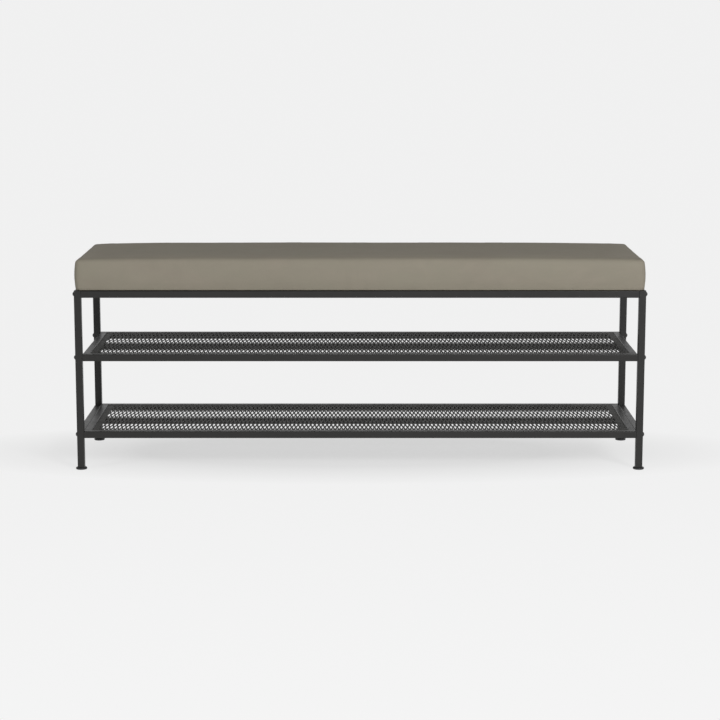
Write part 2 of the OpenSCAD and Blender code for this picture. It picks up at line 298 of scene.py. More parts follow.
def dust_cloth(name, pitch=1.4 * MM):
    """Black spunbonded cloth with its grid of small bonded dots."""
    shade = Shade(name)
    x, y, _ = shade.axes()
    turn = math.tau / pitch
    dots = ((x * turn).math("SINE") * (y * turn).math("SINE")).between(0.35, 0.8)
    fibre = shade.noise(700.0, 5.0, 0.7, distortion=1.2)
    dark, light = (0.008, 0.008, 0.009, 1.0), (0.042, 0.042, 0.044, 1.0)
    shade.feed("Base Color", shade.mix(fibre * 0.7 + dots * 0.3, dark, light))
    shade.feed("Roughness", 0.9 - dots * 0.25)
    shade.bump(fibre * 0.5 - dots * 0.6, 0.15 * MM, 0.8)
    return shade.material


def seat_leather(name, looks):
    """Smooth matt leather: soft clouds in its colour, a fine pebble and thin creases."""
    shade = Shade(name, IOR=1.45, Specular_IOR_Level=0.22)
    colour = looks.colour
    clouds = shade.noise(11.0, 4.0, 0.55, distortion=0.8)
    patches = shade.noise(42.0, 4.0, 0.6)
    pebble = shade.cells(looks.pebbles)
    crease = shade.cells(looks.pebbles * 0.3, "DISTANCE_TO_EDGE")
    tone = clouds.between(0.32, 0.68) * 0.55 + patches.between(0.3, 0.7) * 0.3 + pebble * 0.25
    warm = shade.mix(tone, rgb(colour, 1.0 - looks.mottle), rgb(colour, 1.0 + looks.mottle))
    tint = shade.noise(7.0, 2.0, vector=shade.stretched(z=2.5)).between(0.35, 0.65)
    greenish = (colour[0] * 0.97, colour[1] * 1.02, colour[2] * 0.99, 1.0)
    shade.feed("Base Color", shade.mix(tint * 0.5, warm, greenish))
    shade.feed("Roughness", patches * 0.16 + (looks.roughness - 0.08))
    soft = shade.bump(clouds, 1.2 * MM, 0.2)
    fine = shade.bump(1.0 - pebble, 0.12 * MM, 0.55, soft)
    shade.bump(crease.between(0.0, 0.08), 0.05 * MM, 0.3, fine)
    return shade.material


# ---- Mesh helpers ----

def new_piece(name, bm, materials, smooth_angle=None):
    """Turns a bmesh into a piece in the scene, with its faces turned one way."""
    bmesh.ops.recalc_face_normals(bm, faces=bm.faces)
    mesh = bpy.data.meshes.new(name)
    bm.to_mesh(mesh)
    bm.free()
    for material in materials:
        mesh.materials.append(material)
    piece = bpy.data.objects.new(name, mesh)
    bpy.context.scene.collection.objects.link(piece)
    if smooth_angle is not None:
        mesh.shade_smooth()
        mesh.set_sharp_from_angle(angle=math.radians(smooth_angle))
    return piece


def apply_modifiers(piece):
    """Puts the result of a piece's modifiers in its mesh."""
    graph = bpy.context.evaluated_depsgraph_get()
    mesh = bpy.data.meshes.new_from_object(piece.evaluated_get(graph), depsgraph=graph)
    old = piece.data
    mesh.name = old.name + "_final"
    piece.modifiers.clear()
    piece.data = mesh
    bpy.data.meshes.remove(old)
    return piece


def settle(piece, body, slot, *replaced):
    """Rides a piece on its body and hides the parts that it replaces."""
    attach(piece, body)
    if replaced:
        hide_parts(*replaced)
    return piece


def loft(bm, rings):
    """Joins closed rings of points, each with the same count, with quads. Returns their vertices."""
    made = [[bm.verts.new(point) for point in ring] for ring in rings]
    count = len(made[0])
    for low, high in zip(made, made[1:]):
        for i in range(count):
            j = (i + 1) % count
            bm.faces.new((low[i], low[j], high[j], high[i]))
    return made


def cap(bm, made):
    """Closes a loft with a face over its first ring and one over its last."""
    bm.faces.new(made[0])
    bm.faces.new(reversed(made[-1]))


def ring_of(centre, z, radii):
    """Points evenly round a centre, each at its own distance from it."""
    count = len(radii)
    return [(centre.x + r * math.cos(math.tau * k / count), centre.y + r * math.sin(math.tau * k / count), z)
            for k, r in enumerate(radii)]


def rectangle(lo, hi, in_x, in_y, z):
    """The corners of a box's plan, moved in along X and along Y."""
    return [(lo.x + in_x, lo.y + in_y, z), (hi.x - in_x, lo.y + in_y, z),
            (hi.x - in_x, hi.y - in_y, z), (lo.x + in_x, hi.y - in_y, z)]


# ---- Properties ----

class BenchSteel(bpy.types.PropertyGroup):
    colour: bpy.props.FloatVectorProperty(
        name="Powder coat", description="Colour of the powder coat on the tubes",
        subtype="COLOR", size=3, default=(0.0125, 0.012, 0.0112))
    roughness: bpy.props.FloatProperty(
        name="Roughness", description="Roughness of the powder coat", subtype="FACTOR",
        default=0.42, min=0.0, max=1.0)
    peel: bpy.props.FloatProperty(
        name="Orange peel", description="Strength of the coat's fine ripple", subtype="FACTOR",
        default=0.5, min=0.0, max=1.0)
    weld_r: bpy.props.FloatProperty(
        name="Weld size", description="Radius of the weld beads in the frame's corners",
        unit="LENGTH", default=1.3 * MM, min=0.0)


class BenchMesh(bpy.types.PropertyGroup):
    colour: bpy.props.FloatVectorProperty(
        name="Coat", description="Colour of the coated mesh sheet", subtype="COLOR", size=3,
        default=(0.032, 0.031, 0.028))
    pitch_x: bpy.props.FloatProperty(
        name="Diamond width", description="Width of one diamond along the bench",
        unit="LENGTH", default=8.95 * MM, min=4 * MM)
    pitch_y: bpy.props.FloatProperty(
        name="Diamond length", description="Length of one diamond across the bench",
        unit="LENGTH", default=52.0 * MM, min=8 * MM)
    sheet_t: bpy.props.FloatProperty(
        name="Sheet thickness", description="Thickness of the mesh sheet",
        unit="LENGTH", default=1.2 * MM, min=0.3 * MM)
    strand: bpy.props.FloatProperty(
        name="Strand width", description="Width of one strand of the mesh",
        unit="LENGTH", default=3.3 * MM, min=0.5 * MM)
    border_x: bpy.props.FloatProperty(
        name="End border", description="Plain border at the ends of the sheet",
        unit="LENGTH", default=12.0 * MM, min=2 * MM)
    border_y: bpy.props.FloatProperty(
        name="Side border", description="Plain border at the front and back of the sheet",
        unit="LENGTH", default=9.0 * MM, min=2 * MM)


class BenchSeat(bpy.types.PropertyGroup):
    colour: bpy.props.FloatVectorProperty(
        name="Leather", description="Colour of the seat cover", subtype="COLOR", size=3,
        default=(0.230, 0.206, 0.164))
    roughness: bpy.props.FloatProperty(
        name="Roughness", description="Roughness of the seat cover", subtype="FACTOR",
        default=0.7, min=0.0, max=1.0)
    mottle: bpy.props.FloatProperty(
        name="Mottle", description="How far the cover's colour varies", subtype="FACTOR",
        default=0.07, min=0.0, max=0.5)
    pebbles: bpy.props.FloatProperty(
        name="Pebbles", description="Pebbles of the grain per metre", default=900.0, min=50.0)
    cover_t: bpy.props.FloatProperty(
        name="Cover", description="Thickness of the cover", unit="LENGTH", default=1.2 * MM)
    wadding_t: bpy.props.FloatProperty(
        name="Wadding", description="Thickness of the wadding", unit="LENGTH", default=2.8 * MM)
    lie: bpy.props.FloatProperty(
        name="Lie", description="Gap between one layer and the next", unit="LENGTH",
        default=0.3 * MM)
    flap_w: bpy.props.FloatProperty(
        name="Flap", description="Width of the cover turned in under the board",
        unit="LENGTH", default=32.0 * MM)
    crown: bpy.props.FloatProperty(
        name="Crown", description="Height of the middle of the seat above its corners",
        unit="LENGTH", default=5.5 * MM)
    edge_r: bpy.props.FloatProperty(
        name="Edge radius", description="Radius of the seat's top edge", unit="LENGTH",
        default=9.0 * MM)
    corner_r: bpy.props.FloatProperty(
        name="Corner radius", description="Radius of the seat's upright corners",
        unit="LENGTH", default=14.0 * MM)
    foot_in: bpy.props.FloatProperty(
        name="Foot inset", description="How far the seat's foot lies inside its widest line",
        unit="LENGTH", default=3.0 * MM)
    shoulder_in: bpy.props.FloatProperty(
        name="Shoulder inset", description="How far the seat's shoulder lies inside its widest line",
        unit="LENGTH", default=2.0 * MM)
    puff: bpy.props.FloatProperty(
        name="Puff", description="How far the padding may push the cover out", unit="LENGTH",
        default=1.6 * MM, min=0.1 * MM)
    pull_in: bpy.props.FloatProperty(
        name="Pull in", description="How far the cover may draw in between its corners",
        unit="LENGTH", default=0.9 * MM, min=0.1 * MM)
    start_in: bpy.props.FloatProperty(
        name="Start inset", description="How much smaller the seat is before it is padded",
        unit="LENGTH", default=0.4 * MM, min=0.0)
    pressure: bpy.props.FloatProperty(
        name="Pressure", description="Pressure of the padding on the cover", default=1.2, min=0.0)
    step: bpy.props.FloatProperty(
        name="Step", description="Size of one face of the seat's mesh", unit="LENGTH",
        default=6.0 * MM, min=3.0 * MM)


class BenchStudio(bpy.types.PropertyGroup):
    backdrop: bpy.props.FloatProperty(
        name="Backdrop", description="Tone of the ground and backdrop", subtype="FACTOR",
        default=0.82)
    lift: bpy.props.FloatProperty(
        name="Lift", description="Tone at which the camera sees the ground", subtype="FACTOR",
        default=0.875)
    # Painted light: the ground's tone is painted brighter nearer to the camera.
    lift_near: bpy.props.FloatProperty(
        name="Near lift", description="The same tone, nearer to the camera", subtype="FACTOR",
        default=0.915)
    shadow_lift: bpy.props.FloatProperty(
        name="Shadow lift", description="How far the bench's shadow is lifted", subtype="FACTOR",
        default=0.69)
    air: bpy.props.FloatProperty(
        name="Air", description="Strength of the even light from all round", default=0.23)
    key: bpy.props.FloatProperty(
        name="Key light", description="Power of the stronger light in watts", default=242.0)
    fill: bpy.props.FloatProperty(
        name="Fill light", description="Power of the weaker light, as a share of the stronger one",
        subtype="FACTOR", default=0.34)
    lamp_d: bpy.props.FloatProperty(
        name="Light size", description="Diameter of each light", unit="LENGTH", default=1.8)
    camera_distance: bpy.props.FloatProperty(
        name="Camera distance", description="From the bench's front to the camera",
        unit="LENGTH", default=4.314)
    camera_height: bpy.props.FloatProperty(
        name="Camera height", description="Height of the camera above the floor",
        unit="LENGTH", default=0.965)
    camera_pitch: bpy.props.FloatProperty(
        name="Camera pitch", description="How far the camera looks down", subtype="ANGLE",
        default=math.radians(9.54))
    lens: bpy.props.FloatProperty(
        name="Lens", description="Focal length of the lens in millimetres", default=102.135)


# ---- Steel frame ----

class BENCH_OT_steel(bpy.types.Operator):
    """Gives the tubes their powder coat and lays the weld beads in the frame's corners"""
    bl_idname = "bench.steel"
    bl_label = "Steel Frame"

    def execute(self, context):
        steel = context.scene.bench_steel
        coat = powder_coat("powder_coat_black", steel.colour, steel.roughness, steel.peel)
        dress(STEEL_NODES, coat)
        beads = self.end_frame_beads() + self.seat_frame_beads() + self.shelf_beads()
        bm = bmesh.new()
        draw = random.Random(4)
        for start, end, outward in beads:
            weld_bead(bm, start, end, outward, steel.weld_r, draw)
        settle(new_piece("weld_beads", bm, [coat], 60), "root", "powder_coated_steel")
        return {"FINISHED"}

    def joint_beads(self, node, along, faces):
        """Beads across a tube's two ends, on the faces named by axis and sign."""
        trim = 1.5 * MM
        lo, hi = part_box(node)
        beads = []
        for end_sign, end_at in ((-1, lo[along]), (1, hi[along])):
            for axis, sign in faces:
                across = next(other for other in range(3) if other not in (along, axis))
                start, end = Vector(), Vector()
                start[along] = end[along] = end_at
                start[axis] = end[axis] = hi[axis] if sign > 0 else lo[axis]
                start[across] = lo[across] + trim
                end[across] = hi[across] - trim
                outward = Vector()
                outward[along] = -end_sign
                outward[axis] = sign
                beads.append((start, end, outward))
        return beads

    def end_frame_beads(self):
        beads = []
        for level in ("upper", "lower"):
            for side, sign in (("left", 1), ("right", -1)):
                beads += self.joint_beads(f"{level}_end_tube_{side}", 1, ((0, sign), (2, -1)))
        return beads

    def seat_frame_beads(self):
        beads = []
        for side, sign in (("left", 1), ("right", -1)):
            beads += self.joint_beads(f"seat_side_rail_{side}", 1, ((0, sign), (2, -1)))
            beads += self.joint_beads(f"seat_cross_bar_{side}", 1, ((0, sign), (0, -sign), (2, -1)))
        return beads

    def shelf_beads(self):
        beads = []
        for shelf in SHELVES:
            for side in ("left", "right"):
                beads += self.joint_beads(f"{shelf}_side_rail_{side}", 1, ((2, -1),))
        return beads


def weld_bead(bm, start, end, outward, radius, draw):
    """A rippled bead from start to end; outward points out of the corner that it fills."""
    ripple, sides = 0.8 * MM, 8
    run = end - start
    steps = max(6, int(run.length / ripple))
    direction = run.normalized()
    out = outward.normalized()
    side = direction.cross(out).normalized()
    rings = []
    for i in range(steps + 1):
        share = i / steps
        taper = min(1.0, 4.0 * share + 0.25, 4.0 * (1.0 - share) + 0.25)
        swell = radius * taper * (0.86 + 0.14 * math.cos(math.pi * i) + draw.uniform(-0.05, 0.05))
        centre = start + run * share
        rings.append([centre + (out * math.cos(a) + side * math.sin(a)) * swell
                      for a in (math.tau * k / sides for k in range(sides))])
    cap(bm, loft(bm, rings))


# ---- Mesh shelves ----

class BENCH_OT_shelves(bpy.types.Operator):
    """Builds each shelf's expanded mesh sheet with open diamonds and folded edges"""
    bl_idname = "bench.shelves"
    bl_label = "Mesh Shelves"

    STRAND_DROP = 0.2 * MM
    STRAND_TWIST = 0.18
    STRAND_OVERLAP = 0.04
    FOLD_R = 1.5 * MM

    def execute(self, context):
        mesh = context.scene.bench_mesh
        coat = powder_coat("powder_coat_mesh", mesh.colour, 0.62, 0.35, gloss=0.28)
        for shelf in SHELVES:
            node = f"{shelf}_mesh"
            bm = bmesh.new()
            self.field_of_diamonds(bm, *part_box(node), mesh)
            piece = new_piece(f"{shelf}_diamond_sheet", bm, [coat])
            settle(piece, "root", "mesh_sheet", node)
        return {"FINISHED"}

    def field_of_diamonds(self, bm, lo, hi, mesh):
        """Lays out rows of knuckles, joins them with strands and puts the plain border round them."""
        inner_lo = Vector((lo.x + mesh.border_x, lo.y + mesh.border_y, 0))
        inner_hi = Vector((hi.x - mesh.border_x, hi.y - mesh.border_y, 0))
        columns = int((inner_hi.x - inner_lo.x) / mesh.pitch_x)
        rows = max(1, round((inner_hi.y - inner_lo.y) / mesh.pitch_y))
        step_x = (inner_hi.x - inner_lo.x) / columns
        step_y = (inner_hi.y - inner_lo.y) / rows
        knuckles = []
        for row in range(2 * rows + 1):
            odd = row % 2
            y = inner_lo.y + 0.5 * row * step_y
            knuckles.append((y, [inner_lo.x + (c + 0.5 * odd) * step_x for c in range(columns + 1 - odd)]))
        self.strands(bm, knuckles, step_x, mesh, hi.z)
        self.borders(bm, lo, hi, inner_lo, mesh)

    def strands(self, bm, knuckles, step_x, mesh, top):
        """One slanting strand from each knuckle to each neighbour in the next row."""
        for (y0, low), (y1, high) in zip(knuckles, knuckles[1:]):
            neighbours = set(round(2 * x / step_x) for x in high)
            for x0 in low:
                for x1 in (x0 - step_x / 2, x0 + step_x / 2):
                    if round(2 * x1 / step_x) in neighbours:
                        self.strand(bm, Vector((x0, y0)), Vector((x1, y1)), mesh, top)

    def strand(self, bm, start, end, mesh, top):
        """A flat strand that runs into its knuckles and is twisted up at one end, down at the other."""
        run = end - start
        half = mesh.strand / 2 * run.length / abs(run.y)
        tilt = mesh.sheet_t * self.STRAND_TWIST * (1 if run.x > 0 else -1)
        lap = run * self.STRAND_OVERLAP
        ends = []
        for point, lift in ((start - lap, tilt), (end + lap, -tilt)):
            high, low = top - self.STRAND_DROP + lift, top - mesh.sheet_t + lift
            ends.append([(point.x - half, point.y, high), (point.x + half, point.y, high),
                         (point.x + half, point.y, low), (point.x - half, point.y, low)])
        cap(bm, loft(bm, ends))

    def borders(self, bm, lo, hi, inner_lo, mesh):
        """The plain border as a frame, with its four edges folded down."""
        top, thickness = hi.z, mesh.sheet_t
        outline = [(0.0, lo.z), (0.0, top - self.FOLD_R)]
        outline += [(self.FOLD_R * (1 - math.cos(a)), top - self.FOLD_R * (1 - math.sin(a)))
                    for a in (math.radians(22.5 * k) for k in range(1, 5))]
        rings = [rectangle(lo, hi, inset, inset, z) for inset, z in outline]
        in_x = inner_lo.x - lo.x + mesh.strand / 2
        in_y = inner_lo.y - lo.y + mesh.strand / 2
        rings += [rectangle(lo, hi, in_x, in_y, z) for z in (top, top - thickness)]
        for inset, z in reversed(outline):
            under = z if z == lo.z else max(lo.z, z - thickness)
            rings.append(rectangle(lo, hi, inset + thickness, inset + thickness, under))
        rings.append(rings[0])
        made = loft(bm, rings)
        bmesh.ops.remove_doubles(bm, verts=made[0] + made[-1], dist=0.01 * MM)


# ---- Padded seat ----

SETTLE_FRAMES = 10
TENSION = 25.0
BENDING = 0.6


class SeatForm:
    """The outer form of the seat, worked out from the frame and the seat's properties."""

    FOOT_R = 1.6 * MM       # how the cover rounds the board's lower edge
    FOOT_TURN_H = 1.2 * MM  # the height that this rounding takes up
    HELD_H = 14.0 * MM      # the staples hold the wall to its own line up to here
    WALL_T = 4.0 * MM       # a point this near to the wall's line belongs to the wall
    FLAP_H = 6.0 * MM       # a point further in than that, and lower than this, is on the flap
    POLE_IN = 3.0 * MM      # how near the last ring comes to the middle line

    def __init__(self, seat):
        self.seat = seat
        self.lo, self.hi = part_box("seat_cover")
        self.middle = (self.lo + self.hi) / 2
        self.half_x = (self.hi.x - self.lo.x) / 2
        self.half_y = (self.hi.y - self.lo.y) / 2
        self.edge_z = self.hi.z - seat.crown
        self.shoulder_z = self.edge_z - seat.edge_r

    def rise(self, x, y):
        """How far the top stands above its corners at one place."""
        along = 1.0 - min(1.0, abs(x) / self.half_x) ** 5
        across = 1.0 - min(1.0, abs(y) / self.half_y) ** 4
        shape = 0.55 * along + 0.35 * along * across + 0.1 * across
        return self.seat.crown * shape

    def wall_in(self, z):
        """How far the wall lies inside its widest line, which is half way up."""
        bulge = 2.0 * (z - self.lo.z) / (self.shoulder_z - self.lo.z) - 1.0
        depth = self.seat.foot_in if bulge < 0 else self.seat.shoulder_in
        return depth * bulge * bulge

    def outline(self, inset, step):
        """The plan of the seat, a rounded rectangle inset by some distance. The number of points
        depends on step alone, so that outlines with different insets can be joined."""
        r = max(1.0 * MM, self.seat.corner_r - inset)
        sides = (int(2 * self.half_y / step), int(2 * self.half_x / step))
        bend = max(4, round(self.seat.corner_r * math.pi / 2 / step * 1.5))
        corners = ((1, -1, -90), (1, 1, 0), (-1, 1, 90), (-1, -1, 180))
        points = []
        for index, (cx, cy, turn) in enumerate(corners):
            nx, ny, _ = corners[(index + 1) % 4]
            centre = Vector((cx * (self.half_x - inset - r), cy * (self.half_y - inset - r)))
            after = Vector((nx * (self.half_x - inset - r), ny * (self.half_y - inset - r)))
            for k in range(bend + 1):
                a = math.radians(turn + 90.0 * k / bend)
                points.append(centre + Vector((math.cos(a), math.sin(a))) * r)
            out = Vector((math.cos(a), math.sin(a))) * r
            count = sides[index % 2]
            points += [centre.lerp(after, k / count) + out for k in range(1, count)]
        return points

    def levels(self, from_z, step, flap):
        """Height and inset of each ring, from the flap or the lowest wall up to the crown."""
        seat = self.seat
        levels = []
        if flap:
            edge = self.wall_in(self.lo.z) + self.FOOT_R
            count = max(2, round(flap / step))
            levels += [(self.lo.z, edge + flap * (1.0 - k / count)) for k in range(count + 1)]
            bend = 0.3 * self.FOOT_R
            levels.append((self.lo.z + bend, self.wall_in(self.lo.z) + bend))
            from_z = self.lo.z + self.FOOT_R
        count = max(3, round((self.shoulder_z - from_z) / step))
        levels += [(z, self.wall_in(z)) for z in
                   (from_z + (self.shoulder_z - from_z) * k / count for k in range(count))]
        arc = [math.radians(90.0 * k / 6) for k in range(7)]
        levels += [(self.shoulder_z + seat.edge_r * math.sin(a),
                    seat.shoulder_in + seat.edge_r * (1.0 - math.cos(a))) for a in arc]
        inner = seat.shoulder_in + seat.edge_r
        count = round((self.half_y - inner) / step)
        levels += [(self.edge_z, inner + (self.half_y - self.POLE_IN - inner) * k / count)
                   for k in range(1, count + 1)]
        return levels

    def skin(self, from_z, step, flap=0.0, shrink=0.0):
        """The form as a mesh of rings, closed on top; it is closed below too when it has no flap and starts
        at the seat's foot.
        """
        rings = []
        for z, inset in self.levels(from_z, step, flap):
            top_share = min(1.0, max(0.0, (z - self.shoulder_z) / self.seat.edge_r))
            rings.append([(p.x + self.middle.x, p.y + self.middle.y,
                           max(z + (self.rise(p.x, p.y) - shrink) * top_share, from_z))
                          for p in self.outline(inset + shrink, step)])
        bm = bmesh.new()
        made = loft(bm, rings)
        bmesh.ops.contextual_create(bm, geom=made[-1])
        if not flap and from_z == self.lo.z:
            bmesh.ops.contextual_create(bm, geom=made[0])
        bmesh.ops.triangulate(bm, faces=[f for f in bm.faces if len(f.verts) > 4])
        return bm


    def plan_distance(self, point):
        """Outward direction and distance of a point from the seat's widest outline, in plan."""
        r = self.seat.corner_r
        dx = abs(point.x - self.middle.x) - (self.half_x - r)
        dy = abs(point.y - self.middle.y) - (self.half_y - r)
        side_x, side_y = math.copysign(1.0, point.x), math.copysign(1.0, point.y)
        if dx > 0 and dy > 0:
            length = math.hypot(dx, dy)
            return side_x * dx / length, side_y * dy / length, length - r
        if dx > dy:
            return side_x, 0.0, dx - r
        return 0.0, side_y, dy - r

    def hold_foot(self, bm):
        """The cover is stapled down at its foot, so there the wall keeps its own line."""
        for vertex in bm.verts:
            height = vertex.co.z - self.lo.z
            if height >= self.HELD_H:
                continue
            hold = 1.0 - max(0.0, height / self.HELD_H) ** 2
            out_x, out_y, distance = self.plan_distance(vertex.co)
            wanted = -self.wall_in(vertex.co.z)
            if height < self.FOOT_TURN_H:
                wanted -= self.FOOT_R * (1.0 - max(0.0, height) / self.FOOT_TURN_H)
                vertex.co.z = max(self.lo.z, vertex.co.z)
            if distance > wanted - self.WALL_T:
                vertex.co.x += out_x * (wanted - distance) * hold
                vertex.co.y += out_y * (wanted - distance) * hold
            elif height < self.FLAP_H:
                vertex.co.z = self.lo.z

    def add_folds(self, bm):
        """Soft puckers where the cover is pulled round its corners and down to the staples."""
        reach, pull_pitch = 0.11, 0.062
        wave_h, pucker_h, pull_h, most_out = 0.5 * MM, 0.6 * MM, 0.3 * MM, 0.2 * MM
        flat_h, ease_h = 1.0 * MM, 8.0 * MM
        bm.normal_update()
        normals = [vertex.normal.copy() for vertex in bm.verts]
        for vertex, normal in zip(bm.verts, normals):
            x, y, z = vertex.co
            if z < self.lo.z + flat_h:
                continue
            near_x = max(0.0, 1.0 - (self.half_x - abs(x)) / reach)
            near_y = max(0.0, 1.0 - (self.half_y - abs(y)) / reach)
            corner = min(1.0, near_x * near_y * 1.6)
            hem = max(0.0, 1.0 - 3.2 * (z - self.lo.z) / (self.edge_z - self.lo.z))
            wave = noise.noise(Vector((x * 9.0, y * 9.0, z * 16.0 + 3.0)))
            pucker = noise.noise(Vector((x * 26.0, y * 26.0, z * 9.0)))
            pull = math.sin((x * abs(normal.y) + y * abs(normal.x)) * math.tau / pull_pitch)
            depth = wave_h * wave + corner * pucker_h * pucker + hem * hem * pull_h * pull
            ease = min(1.0, (z - self.lo.z) / ease_h)
            vertex.co -= normal * max(-most_out, depth) * ease


def vectors(vertices, name):
    """One vector of every vertex, its place or its normal, as the rows of an array."""
    flat = np.empty(len(vertices) * 3, np.float32)
    vertices.foreach_get(name, flat)
    return flat.reshape(-1, 3)


def inflate(piece, seat):
    """Runs the cloth. Returns where each point started and how far it moved along its normal, with
    the seat's limits on how far it goes out or in."""
    start = vectors(piece.data.vertices, "co")
    normals = vectors(piece.data.vertices, "normal")
    cloth = piece.modifiers.new("padding", "CLOTH")
    cloth.settings.use_pressure = True
    cloth.settings.uniform_pressure_force = seat.pressure
    cloth.settings.effector_weights.gravity = 0.0
    cloth.settings.tension_stiffness = TENSION
    cloth.settings.bending_stiffness = BENDING
    for step in range(1, SETTLE_FRAMES + 1):
        bpy.context.scene.frame_set(step)
    graph = bpy.context.evaluated_depsgraph_get()
    moved = vectors(piece.evaluated_get(graph).data.vertices, "co")
    piece.modifiers.remove(cloth)
    bpy.context.scene.frame_set(1)
    outward = ((moved - start) * normals).sum(axis=1)
    held = np.where(outward > 0, seat.puff * np.tanh(outward / seat.puff),
                    seat.pull_in * np.tanh(outward / seat.pull_in))
    return start, normals * held[:, None]


def carry_over(bm, start, shift, near=8):
    """Moves the points of a finer mesh as the nearest points of the padded one moved."""
    tree = KDTree(len(start))
    for index, point in enumerate(start):
        tree.insert(point, index)
    tree.balance()
    for vertex in bm.verts:
        found = [index for _, index, _ in tree.find_n(vertex.co, near)]
        vertex.co += Vector(shift[found].mean(axis=0).tolist())


class BENCH_OT_seat(bpy.types.Operator):
    """Pads the seat: an inflated leather cover with turned-in flaps, over its wadding"""
    bl_idname = "bench.seat"
    bl_label = "Padded Seat"

    def execute(self, context):
        seat = context.scene.bench_seat
        form = SeatForm(seat)
        padding = self.simulate(form)
        board_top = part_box("seat_board")[1].z
        cover = self.layer("seat_cover_leather", form, padding, seat_leather("seat_leather", seat),
                           form.lo.z, seat.flap_w, 0.0, seat.cover_t)
        settle(cover, "root", "seat_cover_leather", "seat_cover")
        wadding = self.layer("seat_wadding_layer", form, padding, fibre_wadding("wadding_white"),
                             board_top + seat.lie, 0.0, seat.cover_t + seat.lie, seat.wadding_t)
        settle(wadding, "root", "wadding", "seat_wadding")
        self.finish_inside()
        return {"FINISHED"}

    def simulate(self, form):
        """Inflates an even mesh of the form, a little smaller than the seat."""
        seat = form.seat
        skin = form.skin(form.lo.z, 2 * seat.step, shrink=seat.start_in)
        balloon = new_piece("seat_padding", skin, [])
        remesh = balloon.modifiers.new("even", "REMESH")
        remesh.mode = "VOXEL"
        remesh.voxel_size = seat.step
        apply_modifiers(balloon)
        padding = inflate(balloon, seat)
        bpy.data.objects.remove(balloon)
        return padding

    def layer(self, name, form, padding, material, from_z, flap, offset, thickness):
        """One layer of the seat: its padded form moved in by offset and given a thickness."""
        seat = form.seat
        shrink = 0.0 if padding is None else seat.start_in
        bm = form.skin(from_z, seat.step, flap, shrink)
        if padding is not None:
            carry_over(bm, *padding)
        form.hold_foot(bm)
        bmesh.ops.recalc_face_normals(bm, faces=bm.faces)
        form.add_folds(bm)
        bm.normal_update()
        moves = [-vertex.normal * offset for vertex in bm.verts]
        for vertex, move in zip(bm.verts, moves):
            vertex.co += move
        piece = new_piece(name, bm, [material])
        piece.data.shade_smooth()
        solid = piece.modifiers.new("thickness", "SOLIDIFY")
        solid.thickness = thickness
        solid.offset = -1.0
        return apply_modifiers(piece)

    def finish_inside(self):
        """Finishes of what the seat holds: its board, foam and dust cover."""
        plies = 9
        lo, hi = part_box("seat_board")
        dress(["seat_board"], plywood("birch_plywood", (hi.z - lo.z) / plies))
        dress(["seat_foam"], open_foam("seat_foam_yellow"))
        dress(["seat_dust_cover"], dust_cloth("dust_cloth_black"))
        lo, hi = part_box("seat_dust_cover")


# ---- Fasteners ----

class BENCH_OT_fasteners(bpy.types.Operator):
    """Finishes the bolts, screws, inserts, staples and plugs"""
    bl_idname = "bench.fasteners"
    bl_label = "Fasteners"

    def execute(self, context):
        dress(ZINC_NODES, zinc_plate("zinc_plated_steel"))
        dress(BOLT_NODES, black_oxide("black_bolt_finish"))
        dress(["leg_top_plugs"], moulded_plastic("black_plug_plastic"))
        return {"FINISHED"}


# ---- Levelling feet ----

class BENCH_OT_feet(bpy.types.Operator):
    """Builds the feet's threaded studs with their hex sockets, and finishes the pads"""
    bl_idname = "bench.feet"
    bl_label = "Levelling Feet"

    THREAD_PITCH = 1.25 * MM
    THREAD_DEPTH = 0.62 * MM
    ROD_R = 3.95 * MM

    def execute(self, context):
        zinc = zinc_plate("zinc_stud", (0.60, 0.60, 0.58))
        plastic = moulded_plastic("black_pad_plastic")
        for end, _, _ in ENDS:
            node = f"foot_stud_{end}"
            bm = bmesh.new()
            self.stud(bm, *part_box(node))
            piece = new_piece(f"foot_threaded_stud_{end}", bm, [zinc], 35)
            settle(piece, f"stud_{end}", "zinc_steel", node)
            dress([f"foot_pad_{end}"], plastic)
        return {"FINISHED"}

    def stud(self, bm, lo, hi):
        """Rings from the floor of the hex socket out round the head and up the rod, whose thread
        climbs one pitch a turn."""
        head_h, socket_r, socket_h, bevel = 1.4 * MM, 2.5 * MM, 5.0 * MM, 0.25 * MM
        lead_in, plain_h, tip_h, chamfer = 0.3 * MM, 1.6 * MM, 0.6 * MM, 0.4 * MM
        count, rings_a_turn, fade_rings = 36, 5, 8
        centre = (lo + hi) / 2
        head_r = (hi.x - lo.x) / 2
        core_r = self.ROD_R - self.THREAD_DEPTH
        sector = math.tau / 6
        hexagon = [socket_r * math.cos(sector / 2) / math.cos(math.tau * k / count % sector - sector / 2)
                   for k in range(count)]
        rings = [ring_of(centre, lo.z + socket_h, [0.0] * count),
                 ring_of(centre, lo.z + socket_h, hexagon),
                 ring_of(centre, lo.z + lead_in, hexagon)]
        rings += [ring_of(centre, lo.z + z, [r] * count) for z, r in (
            (0.0, socket_r + lead_in), (0.0, head_r - bevel), (bevel, head_r),
            (head_h - bevel, head_r), (head_h, head_r - bevel), (head_h, core_r))]
        start, stop = head_h + plain_h, hi.z - lo.z - tip_h
        last = int((stop - start) / (self.THREAD_PITCH / rings_a_turn))
        for i in range(last + 1):
            z = start + (stop - start) * i / last
            fade = min(1.0, i / fade_rings, (last - i) / fade_rings)
            phases = [(z / self.THREAD_PITCH - k / count) % 1.0 for k in range(count)]
            ridges = [1.0 - abs(2.0 * phase - 1.0) ** 1.5 for phase in phases]
            rings.append(ring_of(centre, lo.z + z, [core_r + self.THREAD_DEPTH * r * fade for r in ridges]))
        rings += [ring_of(centre, hi.z, [r] * count) for r in (core_r - chamfer, 0.0)]
        made = loft(bm, rings)
        bmesh.ops.remove_doubles(bm, verts=made[0] + made[-1], dist=0.005 * MM)


# ---- Studio ----

